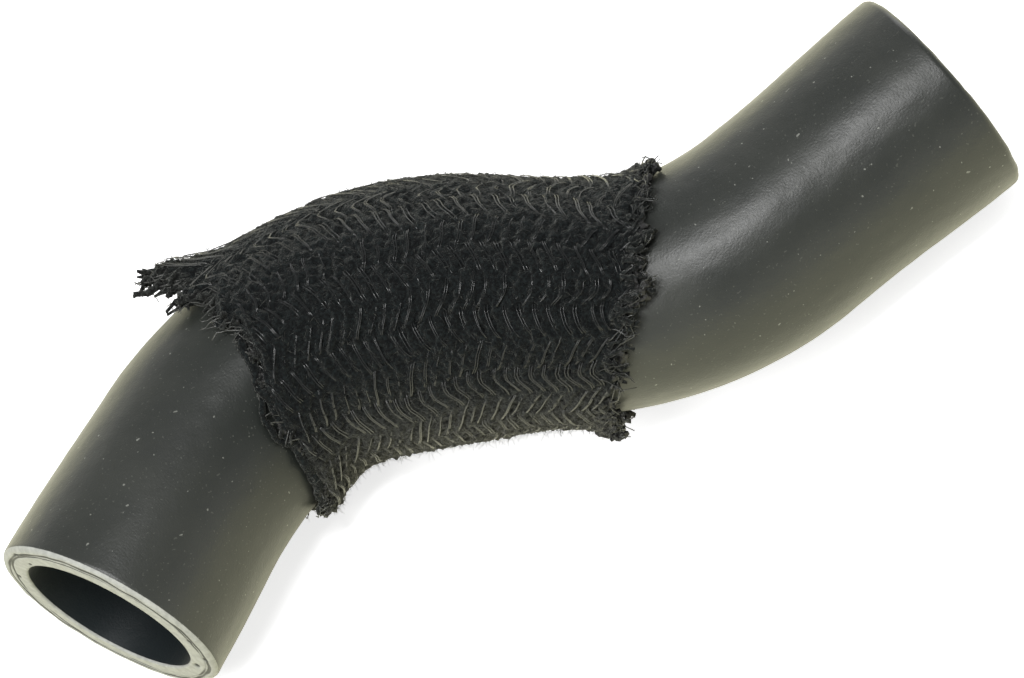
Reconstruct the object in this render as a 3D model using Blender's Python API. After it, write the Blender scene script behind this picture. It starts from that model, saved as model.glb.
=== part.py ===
"""A moulded rubber air hose with two bends and a braided sleeve over the bends.

The hose lies flat. Its axis runs in one level plane: a straight run from the wide left end, a bend to the right,
a short run, a bend to the left and a straight run to the right end along +X. Metres, +Z up.
"""

import math
import random

import bmesh
import bpy
from mathutils import Vector

# Hose axis, from the left end to the right end
LEFT_RUN = 0.0315
FIRST_BEND_RADIUS = 0.042
FIRST_BEND_ANGLE = math.radians(70)
MIDDLE_RUN = 0.022
SECOND_BEND_RADIUS = 0.048
SECOND_BEND_ANGLE = math.radians(45)
RIGHT_RUN = 0.0344

# Hose section
LEFT_END_DIAMETER = 0.0405
MIDDLE_DIAMETER = 0.037
RIGHT_END_DIAMETER = 0.0388
LEFT_FLARE_LENGTH = 0.045
RIGHT_FLARE_LENGTH = 0.030
WALL = 0.005
OUTER_EDGE_ROUND = 0.0009
BORE_EDGE_ROUND = 0.0004
HOSE_SIDES = 36
BEND_STEP = math.radians(7)
STRAIGHT_STEP = 0.008

# Ring left in each cut face by the reinforcing ply inside the wall
PLY_FROM_BORE = 0.0027
PLY_WIDTH = 0.0005
PLY_DEPTH = 0.0003

# Braided sleeve: where it sits and how thick it is
SLEEVE_START_IN_FIRST_BEND = 0.012
SLEEVE_END_IN_SECOND_BEND = 0.0137
SLEEVE_CLEARANCE = 0.0004
YARN_THICKNESS = 0.0023
DRAWN_THICKNESS = 0.0014
DRAWN_LENGTH = 0.020
BUNCHED_THICKNESS = 0.0018
BUNCHED_LENGTH = 0.028
PRESSED_THICKNESS = 0.0011

# Slant of the sleeve's two ends: how far they lean along the hose, and at which angle round it they reach furthest
LEFT_EDGE_SLANT = 0.007
LEFT_EDGE_FURTHEST = math.radians(40)
RIGHT_EDGE_SLANT = 0.0088
RIGHT_EDGE_FURTHEST = math.radians(48)

# Braid: chevron bands run along the sleeve, and each chevron is a ridge
BANDS = 12
BAND_START = math.radians(-1)
COLUMNS_IN_A_BAND = 4
BRAID_PITCH = 0.0026
FLOAT_HEIGHT = 0.0007
FLOAT_PROFILE = (1.0, 0.75, 0.0, 0.75)

# How far the bands drift round the hose where the bends twist the sleeve
FIRST_BEND_DRIFT = math.radians(-10)
SECOND_BEND_DRIFT = math.radians(-18)
SECOND_DRIFT_CENTRE = math.radians(30)
SECOND_DRIFT_WIDTH = math.radians(55)
DRIFT_LENGTH = 0.018

# Ragged ends: (angle round the hose, half width, reach along the hose, lift off the hose)
RAGGED_REACH = 0.0009
RAGGED_LIFT = 0.0005
TUFT_LENGTH = 0.007
LEFT_TUFTS = (
    (math.radians(56), math.radians(15), 0.0085, 0.0065),
    (math.radians(30), math.radians(10), 0.0040, 0.0018),
    (math.radians(-100), math.radians(12), 0.0030, 0.0022),
    (math.radians(160), math.radians(12), 0.0025, 0.0015),
)
RIGHT_TUFTS = (
    (math.radians(50), math.radians(11), 0.0015, 0.0018),
    (math.radians(-28), math.radians(8), 0.0018, 0.0010),
    (math.radians(-112), math.radians(13), 0.0010, 0.0028),
    (math.radians(130), math.radians(12), 0.0020, 0.0015),
)
SEED = 11

# Surface colours
RUBBER_COLOUR = (0.050, 0.054, 0.048, 1.0)
BRAID_COLOUR = (0.011, 0.012, 0.012, 1.0)

# Axis of the hose as (length, curvature) pieces; a negative curvature turns right
AXIS_PIECES = (
    (LEFT_RUN, 0.0),
    (FIRST_BEND_RADIUS * FIRST_BEND_ANGLE, -1 / FIRST_BEND_RADIUS),
    (MIDDLE_RUN, 0.0),
    (SECOND_BEND_RADIUS * SECOND_BEND_ANGLE, 1 / SECOND_BEND_RADIUS),
    (RIGHT_RUN, 0.0),
)
HOSE_LENGTH = sum(length for length, _ in AXIS_PIECES)
FIRST_BEND_START = LEFT_RUN
SECOND_BEND_START = sum(length for length, _ in AXIS_PIECES[:3])
LEFT_HEADING = FIRST_BEND_ANGLE - SECOND_BEND_ANGLE

# The hose rests on its wider end or on the pressed underside of the sleeve, whichever is lower
AXIS_HEIGHT = max(
    LEFT_END_DIAMETER / 2,
    RIGHT_END_DIAMETER / 2,
    MIDDLE_DIAMETER / 2 + SLEEVE_CLEARANCE + PRESSED_THICKNESS,
)


def ease(share):
    """A smooth step from 0 to 1 as the share goes from 0 to 1."""
    share = min(max(share, 0.0), 1.0)
    return share * share * (3 - 2 * share)


def axis_point(station):
    """The point and the heading of the hose axis at this distance from the left end."""
    x, y, heading, start = 0.0, 0.0, LEFT_HEADING, 0.0
    for index, (length, curvature) in enumerate(AXIS_PIECES):
        last = index == len(AXIS_PIECES) - 1
        run = station - start if last else min(station - start, length)
        if curvature:
            turned = heading + curvature * run
            x += (math.sin(turned) - math.sin(heading)) / curvature
            y -= (math.cos(turned) - math.cos(heading)) / curvature
            heading = turned
        else:
            x += run * math.cos(heading)
            y += run * math.sin(heading)
        start += length
        if station <= start:
            break
    return Vector((x, y, AXIS_HEIGHT)), heading


def on_hose(station, angle, radius):
    """A point at this distance from the axis; angle 0 is the top and 90 degrees is the left of the way along."""
    centre, heading = axis_point(station)
    side = Vector((-math.sin(heading), math.cos(heading), 0))
    return centre + radius * (math.cos(angle) * Vector((0, 0, 1)) + math.sin(angle) * side)


def hose_radius(station):
    """Outer radius of the hose: widest at the ends, with a smooth flare into each."""
    middle = MIDDLE_DIAMETER / 2
    left = (LEFT_END_DIAMETER / 2 - middle) * (1 - ease(station / LEFT_FLARE_LENGTH))
    right = (RIGHT_END_DIAMETER / 2 - middle) * (1 - ease((HOSE_LENGTH - station) / RIGHT_FLARE_LENGTH))
    return middle + left + right


def axis_stations():
    """Stations along the axis, close together in the bends and on the flares."""
    stations, start = [], 0.0
    for length, curvature in AXIS_PIECES:
        step = BEND_STEP / abs(curvature) if curvature else STRAIGHT_STEP
        count = max(1, math.ceil(length / step))
        stations += [start + length * k / count for k in range(count)]
        start += length
    return stations[1:]


def closed_skin(name, rings, material):
    """One closed body from rings that follow each other round the wall, the last joined to the first."""
    shape = bmesh.new()
    grid = [[shape.verts.new(point) for point in ring] for ring in rings]
    sides = len(grid[0])
    for this, following in zip(grid, grid[1:] + grid[:1]):
        for k in range(sides):
            after = (k + 1) % sides
            shape.faces.new((this[k], this[after], following[after], following[k]))
    bmesh.ops.recalc_face_normals(shape, faces=shape.faces)
    mesh = bpy.data.meshes.new(name)
    shape.to_mesh(mesh)
    shape.free()
    mesh.shade_smooth()
    mesh.set_sharp_from_angle(angle=math.radians(50))
    mesh.materials.append(material)
    piece = bpy.data.objects.new(name, mesh)
    bpy.context.scene.collection.objects.link(piece)
    return piece


def finish(name, colour, roughness):
    """A plain material with this colour and roughness."""
    material = bpy.data.materials.new(name)
    material.use_nodes = True
    shader = material.node_tree.nodes["Principled BSDF"]
    shader.inputs["Base Color"].default_value = colour
    shader.inputs["Roughness"].default_value = roughness
    shader.inputs["Metallic"].default_value = 0.0
    return material


def cut_face_profile(outer, bore):
    """(depth from the cut face, radius) points, from the outer skin over the cut face into the bore."""
    ply_inside = bore + PLY_FROM_BORE
    ply_outside = ply_inside + PLY_WIDTH
    profile = []
    for turn in (0, 30, 60, 90):
        angle = math.radians(turn)
        depth = OUTER_EDGE_ROUND * (1 - math.sin(angle))
        profile.append((depth, outer - OUTER_EDGE_ROUND * (1 - math.cos(angle))))
    profile += [
        (0.0, ply_outside),
        (PLY_DEPTH, ply_outside - PLY_WIDTH / 4),
        (PLY_DEPTH, ply_inside + PLY_WIDTH / 4),
        (0.0, ply_inside),
    ]
    for turn in (0, 45, 90):
        angle = math.radians(turn)
        depth = BORE_EDGE_ROUND * (1 - math.cos(angle))
        profile.append((depth, bore + BORE_EDGE_ROUND * (1 - math.sin(angle))))
    return profile


def make_hose():
    """The rubber hose: outer skin, right cut face, bore and left cut face, as one closed wall."""

    def ring(station, radius):
        return [on_hose(station, 2 * math.pi * k / HOSE_SIDES, radius) for k in range(HOSE_SIDES)]

    stations = [s for s in axis_stations() if OUTER_EDGE_ROUND < s < HOSE_LENGTH - OUTER_EDGE_ROUND]
    outer = [ring(s, hose_radius(s)) for s in stations]
    bore = [ring(s, hose_radius(s) - WALL) for s in reversed(stations)]
    right_radius = hose_radius(HOSE_LENGTH)
    left_radius = hose_radius(0.0)
    right_face = [ring(HOSE_LENGTH - depth, r) for depth, r in cut_face_profile(right_radius, right_radius - WALL)]
    left_face = [ring(depth, r) for depth, r in reversed(cut_face_profile(left_radius, left_radius - WALL))]
    rubber = finish("rubber", RUBBER_COLOUR, 0.55)
    return closed_skin("rubber_hose", outer + right_face + bore + left_face, rubber)


def band_drift(angle, station):
    """How far a lengthwise band has turned round the hose at this station."""
    into_first = ease((SECOND_BEND_START - DRIFT_LENGTH / 2 - station) / DRIFT_LENGTH)
    into_second = ease((station - SECOND_BEND_START) / DRIFT_LENGTH)
    from_centre = math.remainder(angle - SECOND_DRIFT_CENTRE, 2 * math.pi) / SECOND_DRIFT_WIDTH
    return FIRST_BEND_DRIFT * into_first + SECOND_BEND_DRIFT * into_second * math.exp(-from_centre * from_centre)


def yarn_thickness(station, angle):
    """Thickness of the yarn: full over the first bend, bunched up inside its end, and drawn thinner at the second."""
    from_bend_end = abs(station - FIRST_BEND_START - FIRST_BEND_RADIUS * FIRST_BEND_ANGLE) / BUNCHED_LENGTH
    bunched = BUNCHED_THICKNESS * (1 - ease(from_bend_end)) * max(0.0, -math.sin(angle))
    drawn = ease((station - SECOND_BEND_START + DRAWN_LENGTH) / DRAWN_LENGTH)
    return YARN_THICKNESS + (DRAWN_THICKNESS - YARN_THICKNESS) * drawn + bunched


def tuft_share(angle, centre, half_width):
    """1 in the middle of a tuft and 0 beside it."""
    aside = abs(math.remainder(angle - centre, 2 * math.pi)) / half_width
    return 1 - ease(aside)


def sleeve_edges(angle, rng):
    """Left and right ends of the sleeve at this angle, each as (station, lift off the hose)."""
    left = FIRST_BEND_START + SLEEVE_START_IN_FIRST_BEND
    left_angle = angle + band_drift(angle, left)
    left += LEFT_EDGE_SLANT * math.cos(left_angle - LEFT_EDGE_FURTHEST)
    right = SECOND_BEND_START + SLEEVE_END_IN_SECOND_BEND
    right_angle = angle + band_drift(angle, right)
    right += RIGHT_EDGE_SLANT * math.cos(right_angle - RIGHT_EDGE_FURTHEST)
    left += rng.uniform(-RAGGED_REACH, RAGGED_REACH)
    right += rng.uniform(-RAGGED_REACH, RAGGED_REACH)
    left_lift = rng.uniform(0, RAGGED_LIFT)
    right_lift = rng.uniform(0, RAGGED_LIFT)
    for centre, half_width, reach, lift in LEFT_TUFTS:
        share = tuft_share(angle, centre, half_width)
        left -= reach * share
        left_lift += lift * share
    for centre, half_width, reach, lift in RIGHT_TUFTS:
        share = tuft_share(angle, centre, half_width)
        right += reach * share
        right_lift += lift * share
    return (left, left_lift), (right, right_lift)


def make_sleeve():
    """The braided sleeve: chevron ridges outside, a plain inner face, and ragged lips that join the two."""
    rng = random.Random(SEED)
    columns = BANDS * COLUMNS_IN_A_BAND
    column_step = 2 * math.pi / columns
    angles = [BAND_START + column_step * k for k in range(columns)]
    edges = [sleeve_edges(angle, rng) for angle in angles]
    plain_length = SECOND_BEND_START + SLEEVE_END_IN_SECOND_BEND - FIRST_BEND_START - SLEEVE_START_IN_FIRST_BEND
    rows = 2 * round(plain_length / BRAID_PITCH)

    def place(column, share, zigzag, fullness, ridge):
        """A point of the sleeve, where share runs from 0 at the left end to 1 at the right end.

        Fullness is 0 on the inner face and 1 on the yarn's outer face, and the ridge stands on that.
        """
        (left, left_lift), (right, right_lift) = edges[column]
        across = min(column % COLUMNS_IN_A_BAND, -column % COLUMNS_IN_A_BAND) / (COLUMNS_IN_A_BAND / 2)
        station = left + (right - left) * share + zigzag * BRAID_PITCH * across
        angle = angles[column]
        angle += band_drift(angle, station)
        lift = left_lift * (1 - ease((station - left) / TUFT_LENGTH)) ** 2
        lift += right_lift * (1 - ease((right - station) / TUFT_LENGTH)) ** 2
        inner = hose_radius(station) + SLEEVE_CLEARANCE
        radius = inner + lift + yarn_thickness(station, angle) * fullness + ridge
        if math.cos(angle) < 0 and fullness > 0:
            pressed = max(AXIS_HEIGHT / -math.cos(angle), inner + PRESSED_THICKNESS)
            radius = min(radius, pressed)
        return on_hose(station, angle, radius)

    rings = []
    for row in range(rows + 1):
        lean = min(1, row / 3, (rows - row) / 3)
        end_taper = 0.55 if row in (0, rows) else 1.0
        ring = []
        for column in range(columns):
            ridge = FLOAT_HEIGHT * FLOAT_PROFILE[column % COLUMNS_IN_A_BAND] * (row % 2)
            ring.append(place(column, row / rows, lean, end_taper, ridge))
        rings.append(ring)
    inner_rows = rows // 3
    for row in range(inner_rows, -1, -1):
        rings.append([place(column, row / inner_rows, 0, 0, 0) for column in range(columns)])
    braid = finish("braid", BRAID_COLOUR, 0.8)
    return closed_skin("braided_sleeve", rings, braid)


def rest_on_origin(pieces):
    """Moves the pieces together so that the middle of their footprint is the origin."""
    points = [piece.matrix_world @ vertex.co for piece in pieces for vertex in piece.data.vertices]
    middle_x = (min(p.x for p in points) + max(p.x for p in points)) / 2
    middle_y = (min(p.y for p in points) + max(p.y for p in points)) / 2
    lowest = min(p.z for p in points)
    for piece in pieces:
        piece.location -= Vector((middle_x, middle_y, lowest))


for old in list(bpy.data.objects):
    bpy.data.objects.remove(old)
rest_on_origin([make_hose(), make_sleeve()])
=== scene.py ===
import math

import bpy
import numpy as np
from mathutils import Matrix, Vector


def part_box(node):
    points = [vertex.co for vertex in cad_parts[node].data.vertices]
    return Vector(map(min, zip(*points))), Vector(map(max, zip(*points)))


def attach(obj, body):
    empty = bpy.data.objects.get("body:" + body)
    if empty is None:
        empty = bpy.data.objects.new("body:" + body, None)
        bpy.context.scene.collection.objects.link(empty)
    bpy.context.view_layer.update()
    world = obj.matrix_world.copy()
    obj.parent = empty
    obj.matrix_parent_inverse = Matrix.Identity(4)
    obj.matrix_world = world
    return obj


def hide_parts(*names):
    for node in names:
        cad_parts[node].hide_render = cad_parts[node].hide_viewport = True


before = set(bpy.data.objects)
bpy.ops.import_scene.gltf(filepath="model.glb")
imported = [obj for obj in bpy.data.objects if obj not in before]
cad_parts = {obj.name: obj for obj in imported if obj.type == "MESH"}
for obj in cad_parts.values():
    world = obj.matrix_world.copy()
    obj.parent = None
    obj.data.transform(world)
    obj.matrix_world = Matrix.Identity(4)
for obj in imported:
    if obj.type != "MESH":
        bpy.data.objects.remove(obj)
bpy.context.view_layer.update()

# Studio: a plain white floor under one large soft lamp, with a lower, dimmer panel behind the hose.
# A long lens looks down on the hose from the front. The camera is turned about its own axis, because the hose
# lies slanted across the picture.
CAMERA_DISTANCE = 1.152
CAMERA_HEADING = math.radians(7.74)
CAMERA_ELEVATION = math.radians(53.69)
CAMERA_ROLL = math.radians(33.12)
LENS_MM, SENSOR_MM, NEAREST_SEEN = 246.1, 36.0, 0.01
AIM_FROM_RIGHT_END, AIM_FROM_NEAR_SIDE, AIM_HEIGHT = 0.0799, 0.0359, 0.020
FLOOR_SIZE, FLOOR_DROP = 12.0, 0.0001
FLOOR_WHITE = (0.82, 0.82, 0.82, 1.0)
FLOOR_BOUNCE = (0.84, 0.82, 0.60, 1.0)
FLOOR_GLOW = 0.90
ROOM_LIGHT = 0.28
HORIZON = 0.25

# Lamps: (name, place, aim, width, depth, watts)
LAMPS = (
    ("overhead", (-0.18, -0.62, 2.60), (0.0, 0.0, 0.02), 1.00, 0.62, 40.0),
    ("back_panel", (0.95, 1.05, 0.55), (0.02, 0.0, 0.02), 1.4, 0.50, 6.0),
    ("left_fill", (-0.80, -0.30, 0.90), (-0.03, 0.0, 0.02), 0.60, 0.50, 6.5),
)


def make_camera(low, high):
    """A camera at CAMERA_DISTANCE from its aim, looking along its heading (clockwise from +Y) and down by its
    elevation. Its up direction is the level camera's up turned towards its right by the roll."""
    east, north = math.sin(CAMERA_HEADING), math.cos(CAMERA_HEADING)
    across, down = math.cos(CAMERA_ELEVATION), math.sin(CAMERA_ELEVATION)
    forward = np.array([east * across, north * across, -down])
    level_right = np.array([north, -east, 0.0])
    level_up = np.cross(level_right, forward)
    up = math.cos(CAMERA_ROLL) * level_up + math.sin(CAMERA_ROLL) * level_right
    right = np.cross(forward, up)
    aim = np.array([high.x - AIM_FROM_RIGHT_END, low.y + AIM_FROM_NEAR_SIDE, AIM_HEIGHT])
    lens = bpy.data.cameras.new("camera")
    lens.lens = LENS_MM
    lens.sensor_width = SENSOR_MM
    lens.clip_start = NEAREST_SEEN
    camera = bpy.data.objects.new("camera", lens)
    bpy.context.scene.collection.objects.link(camera)
    place = np.eye(4)
    place[:3, 0], place[:3, 1], place[:3, 2] = right, up, -forward
    place[:3, 3] = aim - CAMERA_DISTANCE * forward
    camera.matrix_world = Matrix(place)
    bpy.context.scene.camera = camera


def make_lamp(name, place, aim, width, depth, watts):
    """A soft rectangular lamp at a place. Its local z axis points from the aim to the place, its x axis is the cross
    product of +Y and that, and its y axis is the cross product of z and x, so it shines at the aim."""
    light = bpy.data.lights.new(name, "AREA")
    light.shape = "RECTANGLE"
    light.size, light.size_y = width, depth
    light.energy = watts
    lamp = bpy.data.objects.new(name, light)
    bpy.context.scene.collection.objects.link(lamp)
    back = np.array(place, float) - np.array(aim, float)
    back /= np.linalg.norm(back)
    right = np.cross([0.0, 1.0, 0.0], back)
    right /= np.linalg.norm(right)
    turn = np.eye(4)
    turn[:3, 0], turn[:3, 1], turn[:3, 2], turn[:3, 3] = right, np.cross(back, right), back, place
    lamp.matrix_world = Matrix(turn)


class Shade:
    """One node output in a material. Python's sums on it add the Math nodes that they stand for."""

    def __init__(self, tree, socket=None):
        self.tree, self.socket = tree, socket

    def node(self, kind, settings=None, inputs=None, output=0):
        """Adds a node, makes its settings, then sets or links its input sockets, and gives one of its outputs."""
        made = self.tree.nodes.new(kind)
        for name, value in (settings or {}).items():
            setattr(made, name, value)
        for name, value in (inputs or {}).items():
            if isinstance(value, Shade):
                self.tree.links.new(value.socket, made.inputs[name])
            else:
                made.inputs[name].default_value = value
        return Shade(self.tree, made.outputs[output] if made.outputs else None)

    def sum(self, operation, first, second):
        return self.node("ShaderNodeMath", {"operation": operation}, {0: first, 1: second})

    def __add__(self, other):
        return self.sum("ADD", self, other)

    def __radd__(self, other):
        return self.sum("ADD", other, self)

    def __sub__(self, other):
        return self.sum("SUBTRACT", self, other)

    def __rsub__(self, other):
        return self.sum("SUBTRACT", other, self)

    def __mul__(self, other):
        return self.sum("MULTIPLY", self, other)

    def __rmul__(self, other):
        return self.sum("MULTIPLY", other, self)

    def between(self, low, high):
        """0 below low and 1 above high, with a smooth step between them."""
        return self.node("ShaderNodeMapRange", {"interpolation_type": "SMOOTHSTEP"},
                         {"Value": self, "From Min": low, "From Max": high})

    def mix(self, share, first, second):
        """The first colour where share is 0 and the second where it is 1."""
        return self.node("ShaderNodeMix", {"data_type": "RGBA"}, {0: share, 6: first, 7: second}, 2)

    def place(self):
        """The point of the surface, in the part's own frame."""
        return self.node("ShaderNodeTexCoord", output=3)

    def noise(self, size, detail):
        """Cloudy noise whose patches are about this size across, in metres."""
        return self.node("ShaderNodeTexNoise", None, {"Vector": self.place(), "Scale": 1 / size, "Detail": detail})

    def mark(self, name):
        """A number painted on the mesh's points."""
        return self.node("ShaderNodeAttribute", {"attribute_name": name}, output=2)

    def bump(self, height, depth):
        """Surface direction for a height from 0 to 1 that stands for this depth, in metres."""
        return self.node("ShaderNodeBump", None, {"Height": height, "Strength": 1.0, "Distance": depth})


def new_material(name):
    """An empty node material, with a Shade on its tree to add nodes from."""
    material = bpy.data.materials.new(name)
    material.use_nodes = True
    material.node_tree.nodes.clear()
    return material, Shade(material.node_tree)


def surface(shade, inputs):
    """Puts a Principled BSDF with these inputs on the material."""
    shader = shade.node("ShaderNodeBsdfPrincipled", None, inputs)
    shade.node("ShaderNodeOutputMaterial", None, {"Surface": shader})


def ray_kinds(shade):
    """Three numbers, each 1 for its own rays: from the camera, from a mirroring surface and through a clear one."""
    rays = shade.node("ShaderNodeLightPath").socket.node.outputs
    return [Shade(shade.tree, rays[kind]) for kind in ("Is Camera Ray", "Is Glossy Ray", "Is Transmission Ray")]


def make_floor():
    """A level white floor. Seen by the camera or in a reflection it glows up to white, less the hose's shadow."""
    half = FLOOR_SIZE / 2
    mesh = bpy.data.meshes.new("floor")
    corners = [(x * half, y * half, -FLOOR_DROP) for x, y in ((-1, -1), (1, -1), (1, 1), (-1, 1))]
    mesh.from_pydata(corners, [], [(0, 1, 2, 3)])
    floor = bpy.data.objects.new("floor", mesh)
    bpy.context.scene.collection.objects.link(floor)
    material, shade = new_material("floor_white")
    seen, mirrored, through = ray_kinds(shade)
    colour = shade.mix(seen, FLOOR_BOUNCE, FLOOR_WHITE)
    glow = (seen + mirrored + through) * FLOOR_GLOW
    matt = shade.node("ShaderNodeBsdfDiffuse", None, {"Color": colour})
    light = shade.node("ShaderNodeEmission", None, {"Color": colour, "Strength": glow})
    both = shade.node("ShaderNodeAddShader", None, {0: matt, 1: light})
    shade.node("ShaderNodeOutputMaterial", None, {"Surface": both})
    mesh.materials.append(material)


def light_room():
    """A dim even room. The camera sees it white, like the floor, and a reflection does so low over the horizon."""
    world = bpy.data.worlds.new("room")
    bpy.context.scene.world = world
    world.use_nodes = True
    world.node_tree.nodes.clear()
    shade = Shade(world.node_tree)
    seen, mirrored, through = ray_kinds(shade)
    height = shade.node("ShaderNodeSeparateXYZ", None, {0: shade.node("ShaderNodeTexCoord")}, 2)
    low = 1.0 - height.between(HORIZON, 2 * HORIZON)
    strength = (seen + (mirrored + through) * low) * (1.0 - ROOM_LIGHT) + ROOM_LIGHT
    sky = shade.node("ShaderNodeBackground", None, {"Color": (1.0, 1.0, 1.0, 1.0), "Strength": strength})
    shade.node("ShaderNodeOutputWorld", None, {"Surface": sky})


bpy.context.scene.view_settings.view_transform = "Standard"
hose_low, hose_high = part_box("rubber_hose")
make_camera(hose_low, hose_high)
make_floor()
light_room()
for lamp_values in LAMPS:
    make_lamp(*lamp_values)

# Rubber hose: one moulded black rubber hose with a reinforcing ply inside its wall, open at both ends.
# It was cut square at both ends after moulding. Its axis lies level: a straight run, a bend to the right, a short
# run, a bend to the left and a straight run along +X, with a slight flare into each end.
FIRST_BEND_RADIUS, FIRST_BEND_ANGLE = 0.042, math.radians(70)
SECOND_BEND_RADIUS, SECOND_BEND_ANGLE = 0.048, math.radians(45)
LEFT_RUN, MIDDLE_RUN, RIGHT_RUN = 0.0315, 0.022, 0.0344
LEFT_END_RADIUS, MIDDLE_RADIUS, RIGHT_END_RADIUS = 0.02025, 0.0185, 0.0194
LEFT_FLARE, RIGHT_FLARE = 0.045, 0.030
WALL = 0.005
OUTER_EDGE_ROUND, BORE_EDGE_ROUND = 0.0013, 0.0004

# The mesh: columns round the hose, rings along its skin and its bore, and rings over the parts of a cut face.
HOSE_COLUMNS, SKIN_RINGS, BORE_RINGS = 256, 180, 90
OUTER_ROUND_RINGS, FACE_RINGS, BORE_ROUND_RINGS = 18, 36, 5
MOUTH_RINGS = np.array([0.0001, 0.0003, 0.0008])

# What isn't quite regular: both cuts slant a little, which fades out along the hose, the wall swells inside the
# first bend, and the skin waves. CAMERA_SIDE is the angle round the hose that faces up and forwards.
CAMERA_SIDE = math.radians(-36)
LEFT_CUT_INSET, LEFT_CUT_SLANT, RIGHT_CUT_SLANT, CUT_FADE = -0.0004, 0.0004, 0.0007, 0.014
BULGE_STATION, BULGE_LENGTH, BULGE_HEIGHT = 0.038, 0.010, 0.0019
BULGE_ANGLE, BULGE_WIDTH = math.radians(-112), math.radians(32)
SKIN_WAVES = ((0.00004, 0.020), (0.000012, 0.004))

# Painted shade beside the sleeve's left end, darkening the rubber where the sleeve and its tufts shade it: where
# the sleeve starts, how the painted shade fades from there, its strength all round, and two patches of it, as
# (angle, half width, strength).
SLEEVE_FOOT, SLEEVE_FOOT_SLANT, SLEEVE_FOOT_FURTHEST = 0.0435, 0.007, math.radians(40)
PAINTED_SHADE_LENGTH, PAINTED_SHADE_POWER, PAINTED_SHADE_ALL_ROUND = 0.012, 1.5, 0.08
PAINTED_SHADE_PATCHES = ((math.radians(-46), math.radians(44), 0.92), (math.radians(62), math.radians(30), 0.9))

# The pale cut reaches this far along the wall and fades; at the right end the rounded edge stays dark.
PALE_DEPTH, PALE_FADE = 0.0005, 0.0006
RIGHT_PALE_INSET, RIGHT_PALE_FADE = 0.0011, 0.0003

AXIS_LENGTHS = np.array([LEFT_RUN, FIRST_BEND_RADIUS * FIRST_BEND_ANGLE, MIDDLE_RUN,
                         SECOND_BEND_RADIUS * SECOND_BEND_ANGLE, RIGHT_RUN])
AXIS_CURVES = np.array([0.0, -1 / FIRST_BEND_RADIUS, 0.0, 1 / SECOND_BEND_RADIUS, 0.0])
AXIS_STARTS = np.concatenate([[0.0], np.cumsum(AXIS_LENGTHS)[:-1]])
HOSE_LENGTH = float(AXIS_LENGTHS.sum())
FIRST_BEND_START, SECOND_BEND_START = float(AXIS_STARTS[1]), float(AXIS_STARTS[3])


def ease(share):
    """A smooth step from 0 to 1 as the share goes from 0 to 1."""
    share = np.clip(share, 0.0, 1.0)
    return share * share * (3 - 2 * share)


def walk(station):
    """How far along each piece of the axis a station lies, as one more array axis. The end pieces go on beyond."""
    run = np.asarray(station, float)[..., None] - AXIS_STARTS
    top = AXIS_LENGTHS.copy()
    top[-1] = np.inf
    low = np.zeros(len(AXIS_LENGTHS))
    low[0] = -np.inf
    return np.clip(run, low, top)


def axis_at(station):
    """Points and headings of the axis: the sum of its straight runs and arcs, each walked as far as the station."""
    run = walk(station)
    turns = AXIS_CURVES * AXIS_LENGTHS
    start = FIRST_BEND_ANGLE - SECOND_BEND_ANGLE + np.concatenate([[0.0], np.cumsum(turns)[:-1]])
    middle = start + AXIS_CURVES * run / 2
    chord = run * np.sinc(AXIS_CURVES * run / (2 * np.pi))
    x, y = (chord * np.cos(middle)).sum(-1), (chord * np.sin(middle)).sum(-1)
    return x, y, start[0] + (AXIS_CURVES * run).sum(-1)


def on_hose(station, angle, radius):
    """Points at a distance from the axis; angle 0 is the top and 90 degrees is to the left of the way along."""
    station, angle, radius = np.broadcast_arrays(station, angle, radius)
    x, y, heading = axis_at(station)
    out = radius * np.sin(angle)
    return np.stack([x - out * np.sin(heading), y + out * np.cos(heading), radius * np.cos(angle)], -1) + axis_shift


def hose_radius(station):
    """Outer radius of the hose: the middle radius, with a smooth flare into each end."""
    left = (LEFT_END_RADIUS - MIDDLE_RADIUS) * (1 - ease(station / LEFT_FLARE))
    right = (RIGHT_END_RADIUS - MIDDLE_RADIUS) * (1 - ease((HOSE_LENGTH - station) / RIGHT_FLARE))
    return MIDDLE_RADIUS + left + right


def turned(angle):
    """The angle brought between minus half a turn and half a turn."""
    return (angle + np.pi) % (2 * np.pi) - np.pi


def bulge(station, turn):
    """How far the wall swells inside the first bend, where it is squeezed: a bell curve along and round the hose."""
    across = turned(turn - BULGE_ANGLE) / BULGE_WIDTH
    return BULGE_HEIGHT * np.exp(-(((station - BULGE_STATION) / BULGE_LENGTH) ** 2) - across**2)


def rumple(points, wavelength, rng, waves=24):
    """Smooth random height of about -1 to 1: plane waves of about this length, in random directions, added up."""
    ways = rng.normal(size=(waves, 3))
    ways *= (2 * np.pi / (wavelength * rng.uniform(0.7, 1.4, waves)) / np.linalg.norm(ways, axis=1))[:, None]
    return np.sin(points @ ways.T + rng.uniform(0, 2 * np.pi, waves)).sum(-1) / math.sqrt(waves / 2)


def rumples(points, sizes, rng, waves=24):
    """Smooth random height: one rumple for each of these (height, wavelength) sizes, added up."""
    return sum(height * rumple(points, wavelength, rng, waves) for height, wavelength in sizes)


def add_piece(name, points, faces, material, marks=None):
    """One mesh object at the origin, smooth, with its faces turned outwards and numbers painted on its points."""
    points = np.asarray(points).reshape(-1, 3)
    quads = np.array([face for face in faces if len(face) == 4])
    a, b, c, d = (points[quads[:, k]] for k in range(4))
    inside_out = (np.cross(c - a, d - b) * (a + b + c + d)).sum() < 0
    mesh = bpy.data.meshes.new(name)
    mesh.from_pydata(points.tolist(), [], [face[::-1] for face in faces] if inside_out else faces)
    mesh.shade_smooth()
    for mark, values in (marks or {}).items():
        values = np.asarray(values, np.float32).ravel()
        mesh.attributes.new(mark, "FLOAT", "POINT").data.foreach_set("value", values)
    mesh.materials.append(material)
    piece = bpy.data.objects.new(name, mesh)
    bpy.context.scene.collection.objects.link(piece)
    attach(piece, "root")
    return piece


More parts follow.
